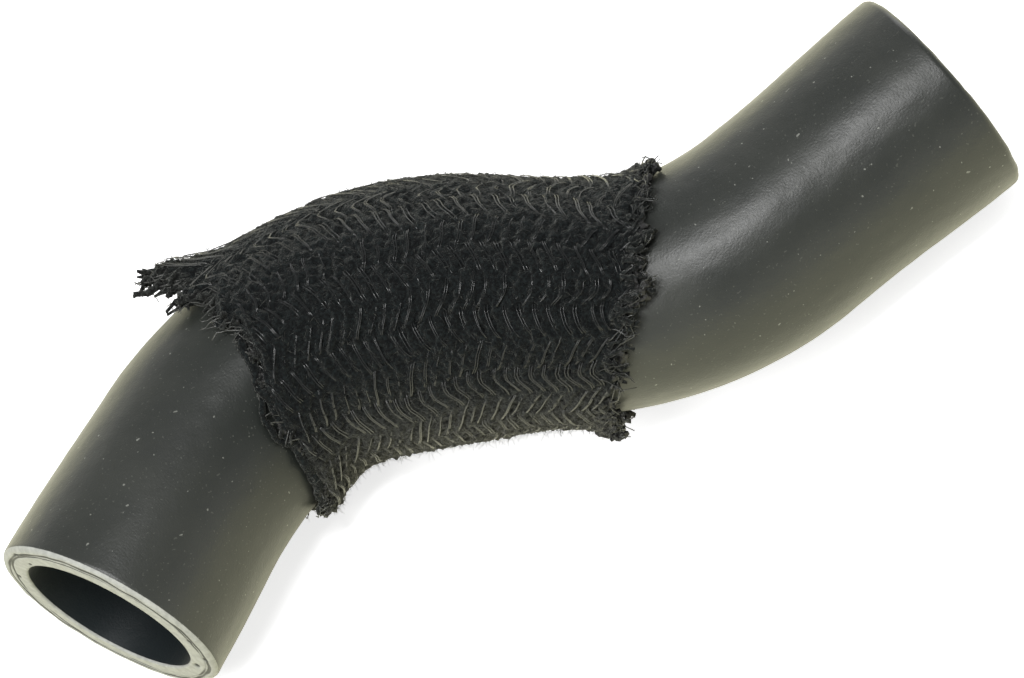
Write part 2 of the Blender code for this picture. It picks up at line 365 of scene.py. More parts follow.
def ring_faces(rings, columns):
    """Quads of a closed wall: each ring of points is joined to the next, and the last to the first."""
    here = np.arange(rings)[:, None] * columns + np.arange(columns)
    ahead = np.roll(here, -1, axis=0)
    return np.stack([here, np.roll(here, -1, 1), np.roll(ahead, -1, 1), ahead], -1).reshape(-1, 4).tolist()


# The reinforcing ply: a thin dark seam that wanders a little in each cut face, with a fainter second line inside it.
# Waves are (height, wavelength), and torn spots in the face are (angle in degrees, radius, depth, half width).
PLY_RADIUS, PLY_OFF_CENTRE, PLY_WIDTH, PLY_DEPTH = 0.0187, 0.0003, 0.00030, 0.00022
SECOND_LINE_RADIUS, SECOND_LINE_WIDTH = 0.0180, 0.00022
PLY_WAVES = ((0.00013, 0.014), (0.00004, 0.004))
SECOND_LINE_WAVES = ((0.00014, 0.015),)
FACE_WAVES = ((0.00003, 0.004),)
SPOT_STRETCH = 1.6
TORN_SPOTS = (
    (42, 0.0188, 0.00040, 0.00045),
    (77, 0.0172, 0.00030, 0.00035),
    (40, 0.0161, 0.00025, 0.00030),
    (241, 0.0166, 0.00055, 0.00050),
    (258, 0.0184, 0.00045, 0.00040),
    (279, 0.0181, 0.00030, 0.00040),
)


def cut_face(edge_radius, flip, rng):
    """Rings of a cut face from the outer skin into the bore, as depth from the cut and radius, with its ply marks.
    Both edges are quarter circles. The seam and the second line are bell curves across their own wandering radius,
    each as strong as smooth noise makes it, and a torn spot is a bell curve round its middle. All are sunk."""
    bore = edge_radius - WALL
    turn = np.linspace(0, np.pi / 2, OUTER_ROUND_RINGS)
    outer = np.stack([OUTER_EDGE_ROUND * (1 - np.sin(turn)), edge_radius - OUTER_EDGE_ROUND * (1 - np.cos(turn))])
    flat = np.linspace(edge_radius - OUTER_EDGE_ROUND, bore + BORE_EDGE_ROUND, FACE_RINGS)[1:-1]
    turn = np.linspace(0, np.pi / 2, BORE_ROUND_RINGS)
    inner = np.stack([BORE_EDGE_ROUND * (1 - np.cos(turn)), bore + BORE_EDGE_ROUND * (1 - np.sin(turn))])
    depth, radius = np.concatenate([outer, np.stack([0 * flat, flat]), inner], 1)
    angle = np.linspace(0, 2 * np.pi, HOSE_COLUMNS, endpoint=False)
    face = np.stack([np.cos(angle), np.sin(angle), 0 * angle], -1)[None] * radius[:, None, None]
    shrink = edge_radius / LEFT_END_RADIUS
    aside = PLY_OFF_CENTRE * np.cos(angle - CAMERA_SIDE)
    seam = PLY_RADIUS * shrink + aside + rumples(face, PLY_WAVES, rng)
    second = SECOND_LINE_RADIUS * shrink + aside + rumples(face, SECOND_LINE_WAVES, rng)
    seam_strength = 0.55 + 0.45 * ease(rumple(face, 0.009, rng) * 0.7 + 0.9)
    second_strength = 0.35 + 0.5 * ease(rumple(face, 0.012, rng) * 0.8 + 0.6)
    across = radius[:, None]
    marks = seam_strength * np.exp(-((across - seam) / PLY_WIDTH) ** 2)
    marks = np.maximum(marks, second_strength * np.exp(-((across - second) / SECOND_LINE_WIDTH) ** 2))
    sunk = PLY_DEPTH * marks
    for spot_angle, spot_radius, spot_depth, spot_width in TORN_SPOTS:
        away = np.abs(turned(angle - flip * math.radians(spot_angle))) * across / SPOT_STRETCH
        hump = np.exp(-(away**2 + (across - spot_radius * shrink) ** 2) / spot_width**2)
        sunk = sunk + spot_depth * hump
        marks = np.maximum(marks, hump)
    level = rumples(face, FACE_WAVES, rng) * ease((across - bore) / 0.001)
    return depth[:, None] + sunk + level, np.broadcast_to(across, sunk.shape), marks


# Colours of the rubber: its skin, the specks and dust on it, the painted shade beside the sleeve, the cut and
# its ply, and the bore.
SKIN_DARK, SKIN_LIGHT = (0.024, 0.027, 0.024, 1), (0.033, 0.036, 0.031, 1)
SPECK, DUST, PAINTED_SHADE_COLOUR = (0.36, 0.37, 0.33, 1), (0.30, 0.31, 0.27, 1), (0.013, 0.016, 0.014, 1)
CUT_DARK, CUT_LIGHT, PLY = (0.39, 0.40, 0.37, 1), (0.50, 0.51, 0.475, 1), (0.040, 0.042, 0.036, 1)
BORE = (0.015, 0.020, 0.022, 1)


def paint_rubber():
    """Dull black rubber: olive grey with cloudy gloss, fine grain and pale dust specks, pale where it was cut, and
    darker and duller where shade is painted beside the sleeve's left end."""
    material, shade = new_material("moulded_rubber")
    cloud = shade.noise(0.016, 3.0)
    grain = shade.noise(0.0011, 3.0)
    fine = shade.noise(0.00035, 2.0)
    specks = shade.noise(0.0007, 0.0).between(0.825, 0.86)
    cut = (shade.mark("cut") + (grain - 0.5) * 0.12).between(0.35, 0.65)
    seam = shade.mark("ply")
    bore = shade.mark("bore")
    skin = shade.mix(cloud.between(0.3, 0.7), SKIN_DARK, SKIN_LIGHT)
    skin = shade.mix(specks * 0.5, skin, SPECK)
    dust_and_painted_sheen = shade.noise(0.00042, 0.0).between(0.76, 0.80)
    skin = shade.mix(dust_and_painted_sheen * 0.13, skin, DUST)
    pale = shade.mix(grain.between(0.3, 0.7), CUT_DARK, CUT_LIGHT)
    pale = shade.mix(seam.between(0.12, 0.6) * 0.94, pale, PLY)
    colour = shade.mix(cut, skin, pale)
    colour = shade.mix(bore, colour, BORE)
    rough = 0.30 + cloud * 0.08 + grain * 0.08 + cut * 0.35
    relief = shade.bump(grain * 0.5 + fine * 0.5, 0.00006)
    unshaded_rubber = shade.node("ShaderNodeBsdfPrincipled", None, {
        "Base Color": colour, "Roughness": rough, "Specular IOR Level": 0.5, "Sheen Weight": 0.22,
        "Sheen Roughness": 0.35, "Sheen Tint": (0.94, 0.94, 0.86, 1), "Normal": relief})
    # Painted shade: a darker, duller rubber for where the sleeve's left end shades the hose.
    shaded_colour = shade.mix(dust_and_painted_sheen * 0.15, PAINTED_SHADE_COLOUR, DUST)
    shaded_rubber = shade.node("ShaderNodeBsdfPrincipled", None, {
        "Base Color": shaded_colour, "Roughness": 0.6 + cloud * 0.1, "Specular IOR Level": 0.2, "Normal": relief})
    # The painted-shade mark mixes the darker, duller rubber in next to the sleeve's left end.
    both = shade.node("ShaderNodeMixShader", None, {0: shade.mark("painted_shade") * 0.9, 1: unshaded_rubber, 2: shaded_rubber})
    shade.node("ShaderNodeOutputMaterial", None, {"Surface": both})
    return material


def make_hose():
    """The hose as one closed wall of rings: outer skin, right cut face, bore and left cut face. Each cut is tilted by
    a cosine round the hose. Painted shade fades by a bell-like curve from the sleeve's foot."""
    rng = np.random.default_rng(3)
    angle = np.linspace(0, 2 * np.pi, HOSE_COLUMNS, endpoint=False)
    outer = np.linspace(OUTER_EDGE_ROUND, HOSE_LENGTH - OUTER_EDGE_ROUND, SKIN_RINGS)[1:-1]
    inner = np.linspace(BORE_EDGE_ROUND, HOSE_LENGTH - BORE_EDGE_ROUND, BORE_RINGS)
    near_mouth = BORE_EDGE_ROUND + MOUTH_RINGS
    inner = np.concatenate([near_mouth, inner[1:-1], HOSE_LENGTH - near_mouth[::-1]])[::-1]
    left_depth, left_radius, left_ply = cut_face(LEFT_END_RADIUS, 1, rng)
    right_depth, right_radius, right_ply = cut_face(RIGHT_END_RADIUS, -1, rng)
    whole = np.ones(HOSE_COLUMNS)
    station = np.concatenate([outer[:, None] * whole, HOSE_LENGTH - right_depth,
                              inner[:, None] * whole, left_depth[::-1]])
    radius = np.concatenate([hose_radius(outer)[:, None] * whole, right_radius,
                             (hose_radius(inner) - WALL)[:, None] * whole, left_radius[::-1]])
    points = on_hose(station, angle, radius)
    skin = np.zeros(station.shape)
    skin[: len(outer)] = 1
    radius = radius + skin * rumples(points, SKIN_WAVES, rng)
    radius = radius + skin * bulge(station, angle)
    from_cut = np.minimum(station, HOSE_LENGTH - station)
    on_left = station < HOSE_LENGTH / 2
    bore = np.zeros(station.shape)
    bore[len(outer) + len(right_depth): len(outer) + len(right_depth) + len(inner)] = 1
    cut = (1 - ease((from_cut - PALE_DEPTH) / PALE_FADE)) * (1 - bore)
    on_right_face = ease((RIGHT_END_RADIUS - RIGHT_PALE_INSET - radius) / RIGHT_PALE_FADE)
    cut = cut * np.where(on_left, 1.0, on_right_face)
    ply = np.concatenate([np.zeros((len(outer), HOSE_COLUMNS)), right_ply,
                          np.zeros((len(inner), HOSE_COLUMNS)), left_ply[::-1]])
    # Painted shade, strongest in two patches round the hose and fading away from the sleeve's left end.
    painted_shade_strength = PAINTED_SHADE_ALL_ROUND + sum(strength * np.exp(-(turned(angle - centre) / half_width) ** 2)
                                  for centre, half_width, strength in PAINTED_SHADE_PATCHES)
    foot = SLEEVE_FOOT + SLEEVE_FOOT_SLANT * np.cos(angle - SLEEVE_FOOT_FURTHEST)
    near_foot = np.exp(-(np.maximum(foot - station, 0) / PAINTED_SHADE_LENGTH) ** PAINTED_SHADE_POWER)
    painted_shade = near_foot * np.minimum(painted_shade_strength, 1.0) * on_left
    left_tilt = LEFT_CUT_INSET + LEFT_CUT_SLANT * (1 - np.cos(angle - CAMERA_SIDE)) / 2
    right_tilt = RIGHT_CUT_SLANT * (1 - np.cos(angle - CAMERA_SIDE - np.pi / 2)) / 2
    station = station + left_tilt * (1 - ease(station / CUT_FADE))
    station = station + right_tilt * (1 - ease((HOSE_LENGTH - station) / CUT_FADE))
    hose = add_piece("hose_wall", on_hose(station, angle, radius), ring_faces(*station.shape), paint_rubber(),
                     {"cut": cut, "ply": ply, "bore": bore, "painted_shade": painted_shade})
    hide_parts("rubber_hose")


right_x, right_y, _ = axis_at(HOSE_LENGTH)
axis_shift = np.array([hose_high.x - right_x, hose_low.y + RIGHT_END_RADIUS - right_y, hose_high.z - LEFT_END_RADIUS])
make_hose()

# Braided sleeve, yarn: fluffy black yarn braided round the hose in twelve lengthwise bands of chevrons, pushed over
# the two bends and left loose. Both ends are cut, frayed and slanted, with tufts that stand off the hose, and the
# underside is pressed flat where it lies on the floor.
SLEEVE_CLEARANCE = 0.0004
YARN_THICKNESS = 0.0026
DRAWN_THICKNESS, DRAWN_LENGTH = 0.0015, 0.020
BUNCHED_THICKNESS, BUNCHED_AT, BUNCHED_LENGTH = 0.0019, 0.075, 0.026
THINNED_BY, THINNING_LENGTH = 0.0006, 0.014
PRESSED_THICKNESS = 0.0011
FLOOR_CLEARANCE = 0.00002
LEFT_EDGE, LEFT_SLANT, LEFT_FURTHEST = FIRST_BEND_START + 0.012, 0.007, math.radians(40)
RIGHT_EDGE, RIGHT_SLANT, RIGHT_FURTHEST = SECOND_BEND_START + 0.0130, 0.0081, math.radians(48)
NOTCH = 0.00035
BANDS = 12
BAND_START, BAND_WIDTH = math.radians(-1), 2 * math.pi / BANDS
ROWS = 27
FIRST_BEND_DRIFT, SECOND_BEND_DRIFT = math.radians(-10), math.radians(-18)
DRIFT_CENTRE, DRIFT_WIDTH, DRIFT_LENGTH = math.radians(30), math.radians(55), 0.018

# Tufts at each end, with one gap and one tucked-in place at the left: (angle round the hose and half width, in
# degrees, reach along the hose, lift off it, length)
LEFT_TUFTS = (
    (57, 16, 0.0034, 0.0052, 0.011),
    (36, 9, 0.0042, 0.0010, 0.006),
    (-12, 27, -0.0030, 0.0, 0.006),
    (-102, 11, 0.0024, 0.0004, 0.007),
    (-126, 26, 0.0, -0.0009, 0.009),
    (160, 12, 0.0025, 0.0015, 0.007),
)
RIGHT_TUFTS = (
    (50, 11, 0.0018, 0.0, 0.006),
    (-28, 8, 0.0012, 0.0008, 0.004),
    (-112, 13, 0.0004, 0.0020, 0.007),
    (130, 12, 0.0020, 0.0015, 0.007),
)


def band_drift(angle, station):
    """How far the bands turn round the hose: steadily in the first bend, and on one side only in the second."""
    into_first = ease((SECOND_BEND_START - DRIFT_LENGTH / 2 - station) / DRIFT_LENGTH)
    into_second = ease((station - SECOND_BEND_START) / DRIFT_LENGTH)
    aside = turned(angle - DRIFT_CENTRE) / DRIFT_WIDTH
    return FIRST_BEND_DRIFT * into_first + SECOND_BEND_DRIFT * into_second * np.exp(-aside * aside)


def tuft_share(angle, centre, half_width):
    """1 in the middle of a tuft and 0 beside it. Its place and half width are in degrees, as in the tables."""
    return 1 - ease(np.abs(turned(angle - math.radians(centre))) / math.radians(half_width))


def sleeve_ends(angle):
    """Stations of the sleeve's two ends: a cosine round the hose for each slanted cut, sines of many turns for its
    shallow notches, and a smooth hump for each tuft or gap."""
    left = LEFT_EDGE + LEFT_SLANT * np.cos(angle + band_drift(angle, LEFT_EDGE) - LEFT_FURTHEST)
    right = RIGHT_EDGE + RIGHT_SLANT * np.cos(angle + band_drift(angle, RIGHT_EDGE) - RIGHT_FURTHEST)
    left = left + NOTCH * (np.sin(11 * angle + 1.3) + np.sin(23 * angle) * np.sin(5 * angle + 0.7))
    right = right + NOTCH * (np.sin(13 * angle + 0.4) + np.sin(25 * angle + 2.0) * np.sin(4 * angle))
    for centre, half_width, reach, _, _ in LEFT_TUFTS:
        left = left - reach * tuft_share(angle, centre, half_width)
    for centre, half_width, reach, _, _ in RIGHT_TUFTS:
        right = right + reach * tuft_share(angle, centre, half_width)
    return left, right


def sleeve_lift(station, angle):
    """How far the sleeve stands off the hose: each tuft rises smoothly towards its end."""
    left, right = sleeve_ends(angle)
    lift = 0.0
    for inward, tufts in ((station - left, LEFT_TUFTS), (right - station, RIGHT_TUFTS)):
        for centre, half_width, _, rise, length in tufts:
            lift = lift + rise * tuft_share(angle, centre, half_width) * (1 - ease(inward / length)) ** 2
    return lift


def stretch_of(angle):
    """How much longer or shorter each piece of the axis is on the surface, along a line at this angle."""
    return 1 - AXIS_CURVES * (MIDDLE_RADIUS + YARN_THICKNESS) * np.sin(angle)[..., None]


def station_of_row(row, angle):
    """The station of a braid row, counted from 0 at the left end: rows are evenly spaced along the surface."""
    left, right = sleeve_ends(angle)
    stretch = stretch_of(angle)
    begin, end = ((walk(edge) * stretch).sum(-1) for edge in (left, right))
    distance = begin + (end - begin) * row / ROWS
    station, used = 0.0, 0.0
    for piece, length in enumerate(AXIS_LENGTHS):
        room = length * stretch[..., piece]
        share = distance - used
        last = piece == len(AXIS_LENGTHS) - 1
        station = station + np.clip(share, None if piece == 0 else 0, None if last else room) / stretch[..., piece]
        used = used + room
    return station


def yarn_radius(station, angle, height):
    """Distance from the axis at a height over the yarn's outer face: hose, clearance, lift and yarn added up. The
    yarn bunches up inside the end of the first bend, and is drawn thinner towards the second and in it."""
    drawn = ease((station - SECOND_BEND_START + DRAWN_LENGTH) / DRAWN_LENGTH)
    from_bend_end = np.abs(station - BUNCHED_AT) / BUNCHED_LENGTH
    inside = np.maximum(0, -np.sin(angle + band_drift(angle, station)))
    thick = YARN_THICKNESS + (DRAWN_THICKNESS - YARN_THICKNESS) * drawn
    thick = thick + BUNCHED_THICKNESS * (1 - ease(from_bend_end)) * inside
    thick = thick - THINNED_BY * ease((station - SECOND_BEND_START) / THINNING_LENGTH)
    return hose_radius(station) + SLEEVE_CLEARANCE + sleeve_lift(station, angle) + thick + height


def around(station, angle, radius):
    """Points at this distance from the axis on a braid line, which drifts round the hose. Underneath, what would
    reach below the floor is pressed up to it."""
    turn = angle + band_drift(angle, station)
    radius = radius + bulge(station, turn)
    floor_at = axis_shift[2] / np.maximum(-np.cos(turn), 1e-6)
    pressed = np.maximum(floor_at, hose_radius(station) + SLEEVE_CLEARANCE + PRESSED_THICKNESS)
    return on_hose(station, turn, np.where(np.cos(turn) < 0, np.minimum(radius, pressed), radius))


def on_sleeve(row, angle, height):
    """Points over the sleeve's braid, at a height over the yarn's outer face."""
    row, angle, height = np.broadcast_arrays(row, angle, height)
    station = station_of_row(row, angle)
    return around(station, angle, yarn_radius(station, angle, height))


def under_sleeve(row, angle):
    """Points of the sleeve's inner face, just clear of the hose."""
    station = station_of_row(*np.broadcast_arrays(row, angle))
    return around(station, angle, hose_radius(station) + SLEEVE_CLEARANCE + sleeve_lift(station, angle))


def above_floor(points):
    """The points, with what would reach the floor lifted just clear of it."""
    points[..., 2] = np.maximum(points[..., 2], FLOOR_CLEARANCE)
    return points


def chevron(row, angle):
    """Distance in rows from a chevron's own line, and how far across its band a point is, from 0 at the point of
    the chevrons to 1 at the band's edge."""
    across = np.abs(((angle - BAND_START) / BAND_WIDTH + 0.5) % 1.0 - 0.5) * 2
    return row - across, across


# Painted sheen greys the flanks of the sleeve, where its fluff would catch the floor's light near the outline: the
# middle of the side without it, how far from there it starts, and how fast it thickens.
SHEENLESS_SIDE, SHEEN_START, SHEEN_WIDTH = math.radians(-14), math.radians(45), 1.1


def painted_sheen_on(angle, station):
    """The painted sheen: 0 on the side of the sleeve that faces up and forwards, rising smoothly to 1 on its flanks.
    """
    aside = np.abs(turned(angle + band_drift(angle, station) - SHEENLESS_SIDE))
    return ease((aside - SHEEN_START) / SHEEN_WIDTH)


def paint_yarn():
    """Black fluffy yarn: a dull fibre colour that varies in tiny clumps, with soft fibre relief."""
    material, shade = new_material("black_yarn")
    clumps = shade.noise(0.0005, 3.0)
    strands = shade.noise(0.00025, 2.0)
    dark = shade.mix(clumps.between(0.4, 0.7), (0.0010, 0.0017, 0.0021, 1), (0.010, 0.014, 0.0145, 1))
    grey = shade.mix(clumps.between(0.35, 0.7), (0.012, 0.012, 0.011, 1), (0.110, 0.110, 0.097, 1))
    # Painted sheen: the yarn turns grey where the mark is high, on the sleeve's flanks.
    colour = shade.mix(shade.mark("dust_and_painted_sheen"), dark, grey)
    surface(shade, {"Base Color": colour, "Roughness": 0.85, "Specular IOR Level": 0.2,
                    "Sheen Weight": 0.18, "Sheen Roughness": 0.4, "Sheen Tint": (0.9, 0.92, 0.85, 1),
                    "Normal": shade.bump(clumps * 0.6 + strands * 0.4, 0.0005)})
    return material


# The yarn's mesh, and the relief of its outer face. Waves are (height, wavelength).
YARN_COLUMNS, YARN_RINGS, LIP_RINGS, INNER_RINGS = 300, 262, 5, 14
STRAND_RELIEF, BAND_EDGE_RELIEF = 0.00042, 0.00022
FINE_WAVES = 60
FLUFF_WAVES = ((0.00015, 0.0018), (0.00010, 0.0009))
FRAYED_ROWS, FRAYED_WAVES = 1.5, ((0.00035, 0.0022),)
TAPER_ROWS, TAPER_DEPTH = 0.5, 0.0007
TUFT_THINNING, TUFT_ROWS = 0.2, 4


def make_yarn(material):
    """The yarn as one closed wall. Its outer face is a relief: a cosine over each row for the slanted strands, higher
    along the bands' edges, with smooth noise for fluff that grows at the frayed ends. Its inner face is plain."""
    rng = np.random.default_rng(5)
    angle = np.linspace(0, 2 * np.pi, YARN_COLUMNS, endpoint=False)[None, :]
    row = np.linspace(0, ROWS, YARN_RINGS)[:, None]
    flat = on_sleeve(row, angle, 0.0)
    slant, across = chevron(row, angle)
    strand = 0.5 - 0.5 * np.cos(2 * np.pi * slant)
    height = STRAND_RELIEF * (strand - 0.5) * (1 - 0.5 * across) + BAND_EDGE_RELIEF * across
    height = height + rumples(flat, FLUFF_WAVES, rng, FINE_WAVES)
    from_end = np.minimum(row, ROWS - row)
    height = height + (1 - ease(from_end / FRAYED_ROWS)) * rumples(flat, FRAYED_WAVES, rng, FINE_WAVES)
    taper = ease(from_end / TAPER_ROWS)
    height = height * taper - TAPER_DEPTH * (1 - taper)
    for centre, half_width, _, rise, _ in LEFT_TUFTS:
        height = height - TUFT_THINNING * rise * tuft_share(angle, centre, half_width) * (1 - ease(row / TUFT_ROWS))
    outer = on_sleeve(row, angle, height)
    back = np.linspace(ROWS, 0, INNER_RINGS)[:, None]
    inner = under_sleeve(back, angle)
    share = np.linspace(0, 1, LIP_RINGS)[1:-1, None, None]
    right_lip = outer[-1] * (1 - share) + inner[0] * share
    left_lip = inner[-1] * (1 - share) + outer[0] * share
    points = above_floor(np.concatenate([outer, right_lip, inner, left_lip]))
    # The painted sheen on the flanks of the outer face; none on the inner face.
    dust_and_painted_sheen = painted_sheen_on(angle, station_of_row(row, angle))
    lip_rings = len(right_lip)
    dust_and_painted_sheen = np.concatenate([dust_and_painted_sheen, dust_and_painted_sheen[-1:].repeat(lip_rings, 0), np.zeros(inner.shape[:2]),
                           dust_and_painted_sheen[:1].repeat(lip_rings, 0)])
    yarn = add_piece("sleeve_yarn", points, ring_faces(*points.shape[:2]), material, {"dust_and_painted_sheen": dust_and_painted_sheen})
    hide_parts("braided_sleeve")


yarn_finish = paint_yarn()
make_yarn(yarn_finish)

# Braided sleeve, monofilaments: stiff glossy black plastic threads, laid in pairs and braided with the yarn.
# Each pair comes up out of the fluff at a band's edge, runs slanted over the yarn and dives at the chevron's point.
FILAMENT_RADIUS, FILAMENT_FLATNESS, FILAMENT_SIDES = 0.000105, 0.6, 6
PAIR_GAP, RIBBON_GAP, ROW_PITCH = 0.00044, 0.00026, 0.0026
ARM_POINTS, ARM_START, ARM_END = 8, -0.16, 1.10
FILAMENT_SUNK, FILAMENT_RISE, RISE_SPREAD = 0.0006, 0.00093, 0.00012
# The side where the threads get no painted sheen, and the angles from there over which it rises.
FILAMENT_SHEENLESS_SIDE, FILAMENT_SHEEN_START, FILAMENT_SHEEN_END = math.radians(-25), math.radians(25), math.radians(65)
OUT_STEP = 0.002


def tube_faces(tubes, rings, sides):
    """Quads from ring to ring along each of these tubes, and a cap with as many corners as sides at both its ends."""
    index = np.arange(tubes * rings * sides).reshape(tubes, rings, sides)
    here, after = index[:, :-1], index[:, 1:]
    quads = np.stack([here, after, np.roll(after, -1, 2), np.roll(here, -1, 2)], -1).reshape(-1, 4)
    caps = np.concatenate([index[:, 0], index[:, -1, ::-1]])
    return quads.tolist() + caps.tolist()


def strands(paths, radii, outwards, sides, flatness=1.0):
    """Closed strands along an array of paths: each point gets a ring square to the path, and each end a cap. The
    ring is a circle, pressed towards an ellipse by the flatness along the outward direction."""
    along = np.gradient(paths, axis=1)
    along /= np.linalg.norm(along, axis=-1, keepdims=True)
    up = outwards - (outwards * along).sum(-1, keepdims=True) * along
    up /= np.linalg.norm(up, axis=-1, keepdims=True)
    side = np.cross(along, up)
    turn = 2 * np.pi * np.arange(sides) / sides
    ring = flatness * np.cos(turn)[:, None] * up[:, :, None, :] + np.sin(turn)[:, None] * side[:, :, None, :]
    points = paths[:, :, None, :] + radii[..., None, None] * ring
    return points, tube_faces(*points.shape[:3])


def paint_filament():
    """Glossy black plastic thread, painted grey and rougher on the sleeve's flanks: a painted sheen that stands in
    for its reflection of pale surroundings there.
    """
    material, shade = new_material("black_monofilament")
    streak = shade.noise(0.003, 2.0)
    painted_thread_sheen = shade.mark("dust_and_painted_sheen")
    colour = shade.mix(streak, (0.005, 0.006, 0.006, 1), (0.024, 0.026, 0.026, 1))
    # Painted sheen: grey and rougher where the mark is high.
    colour = shade.mix(painted_thread_sheen, colour, (0.085, 0.087, 0.080, 1))
    rough = 0.045 + streak * 0.06 + painted_thread_sheen * 0.2
    surface(shade, {"Base Color": colour, "Roughness": rough, "Specular IOR Level": 0.5})
    return material


def make_filaments(material):
    """Pairs of threads on both arms of every chevron. Along its arm each climbs out of the fluff and dives again, by
    a smooth step of a sine's arch, and seeded wobbles vary its slant, place and height."""
    rng = np.random.default_rng(7)
    band, rung, arm, thread = (grid.ravel()[:, None] for grid in np.meshgrid(
        np.arange(BANDS), np.arange(ROWS), np.array([-1, 1]), np.array([-0.5, 0.5]), indexing="ij"))
    pairs = len(band) // 2
    wobble = np.repeat(rng.normal(0, 1, (pairs, 4)), 2, axis=0) + rng.normal(0, 0.35, (2 * pairs, 4))
    share = np.linspace(ARM_START, ARM_END, ARM_POINTS)[None, :]
    row = rung + 0.35 + 0.22 * arm + share * (1.0 + 0.10 * wobble[:, :1]) + 0.09 * wobble[:, 1:2]
    row = row + thread * np.where(arm > 0, RIBBON_GAP, PAIR_GAP) / ROW_PITCH
    angle = BAND_START + BAND_WIDTH * (band + arm * share / 2 * (1 + 0.06 * wobble[:, 2:3]))
    arch = np.sin(np.pi * np.clip((share - ARM_START) / (ARM_END - ARM_START), 0, 1)) ** 0.8
    height = -FILAMENT_SUNK + (FILAMENT_RISE + RISE_SPREAD * wobble[:, 3:4]) * ease(1.5 * arch)
    row = np.clip(row, 0.15, ROWS - 0.1)
    paths = on_sleeve(row, angle, height)
    outwards = paths - on_sleeve(row, angle, height - OUT_STEP)
    outwards[..., 2] += 1e-6
    radii = np.full(paths.shape[:2], FILAMENT_RADIUS)
    points, faces = strands(paths, radii, outwards, FILAMENT_SIDES, FILAMENT_FLATNESS)
    points = above_floor(points)
    # Painted sheen on the flanks, rising with the angle from the side that faces up and forwards.
    aside = np.abs(turned(angle + band_drift(angle, station_of_row(row, angle)) - FILAMENT_SHEENLESS_SIDE))
    painted_thread_sheen = ease((aside - FILAMENT_SHEEN_START) / (FILAMENT_SHEEN_END - FILAMENT_SHEEN_START)).repeat(FILAMENT_SIDES, 1)
    threads = add_piece("sleeve_monofilaments", points, faces, material, {"dust_and_painted_sheen": painted_thread_sheen})
    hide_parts("braided_sleeve")


filament_finish = paint_filament()
make_filaments(filament_finish)

# Braided sleeve, fluff: loose fibre ends of the spun yarn, which stand up all over it and soften its outline.
# They are rooted just under the yarn's face. A few are pale among the dark ones, and painted sheen greys the flanks.
NAP_FIBRES, FIBRE_SIDES, FIBRE_RADIUS = 11500, 3, 0.000036
FIBRE_TAPER = [1.0, 0.9, 0.45]
FIBRE_CURL = 0.35
LEAST_LEAN, MOST_LEAN = 35, 88
ROOT_DEPTH = 0.0001
PALE_SHARE, PALENESS = 0.12, 0.5


def paint_fibre():
    """Dull dark grey fibre."""
    material, shade = new_material("loose_fibre")
    tone = shade.noise(0.0012, 1.0)
    dark = shade.mix(tone.between(0.35, 0.7), (0.003, 0.005, 0.0058, 1), (0.027, 0.033, 0.034, 1))
    grey = shade.mix(tone.between(0.35, 0.7), (0.060, 0.060, 0.053, 1), (0.300, 0.300, 0.265, 1))
    # Grey where the mark is high: the pale fibres, and painted sheen on the sleeve's flanks.
    colour = shade.mix(shade.mark("dust_and_painted_sheen"), dark, grey)
    surface(shade, {"Base Color": colour, "Roughness": 0.7, "Specular IOR Level": 0.3})
    return material


def fibres(roots, out, along, lean, length, rng):
    """Thin curved fibres from their roots: each leans from the outward direction towards a random way along the
    surface, and bends on as it goes, by the square of the way along it."""
    spin = rng.uniform(0, 2 * np.pi, len(roots))[:, None]
    aside = np.cross(out, along)
    way = np.cos(spin) * along + np.sin(spin) * aside
    start = np.sin(lean)[:, None] * way + np.cos(lean)[:, None] * out
    bend = rng.normal(size=roots.shape) * FIBRE_CURL
    share = np.linspace(0, 1, len(FIBRE_TAPER))[None, :, None]
    reach = length[:, None, None]
    paths = roots[:, None] + reach * (share * start[:, None] + share**2 * bend[:, None])
    return paths, np.broadcast_to(out[:, None], paths.shape)


def make_nap(name, rng, material, shortest, longest):
    """One half of the fluff, spread evenly over the yarn; it lies flat underneath, where the sleeve is pressed."""
    row = rng.uniform(0.05, ROWS - 0.05, NAP_FIBRES)
    angle = rng.uniform(0, 2 * np.pi, NAP_FIBRES)
    roots = on_sleeve(row, angle, -ROOT_DEPTH)
    out = roots - on_sleeve(row, angle, -ROOT_DEPTH - OUT_STEP)
    out[:, 2] += 1e-9
    out /= np.linalg.norm(out, axis=1)[:, None] + 1e-12
    ahead, behind = (on_sleeve(np.clip(row + step, 0, ROWS), angle, -ROOT_DEPTH) for step in (0.1, -0.1))
    along = (ahead - behind) / np.linalg.norm(ahead - behind, axis=1)[:, None]
    lean = np.radians(rng.uniform(LEAST_LEAN, MOST_LEAN, NAP_FIBRES))
    length = rng.uniform(shortest, longest, NAP_FIBRES)
    paths, outwards = fibres(roots, out, along, lean, length, rng)
    radii = FIBRE_RADIUS * np.broadcast_to(FIBRE_TAPER, paths.shape[:2])
    points, faces = strands(paths, radii, outwards, FIBRE_SIDES)
    points = above_floor(points)
    pale = np.where(rng.random(NAP_FIBRES) < PALE_SHARE, PALENESS, 0.0)
    # The larger of the painted sheen on the flanks and the fibre's own paleness.
    dust_and_painted_sheen = np.maximum(painted_sheen_on(angle, station_of_row(row, angle)), pale).repeat(points[0, ..., 0].size)
    nap = add_piece(name, points, faces, material, {"dust_and_painted_sheen": dust_and_painted_sheen})
    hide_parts("braided_sleeve")


fibre_finish = paint_fibre()
fluff_rng = np.random.default_rng(17)
make_nap("sleeve_short_nap", fluff_rng, fibre_finish, 0.0004, 0.0009)
make_nap("sleeve_long_nap", fluff_rng, fibre_finish, 0.0008, 0.0017)

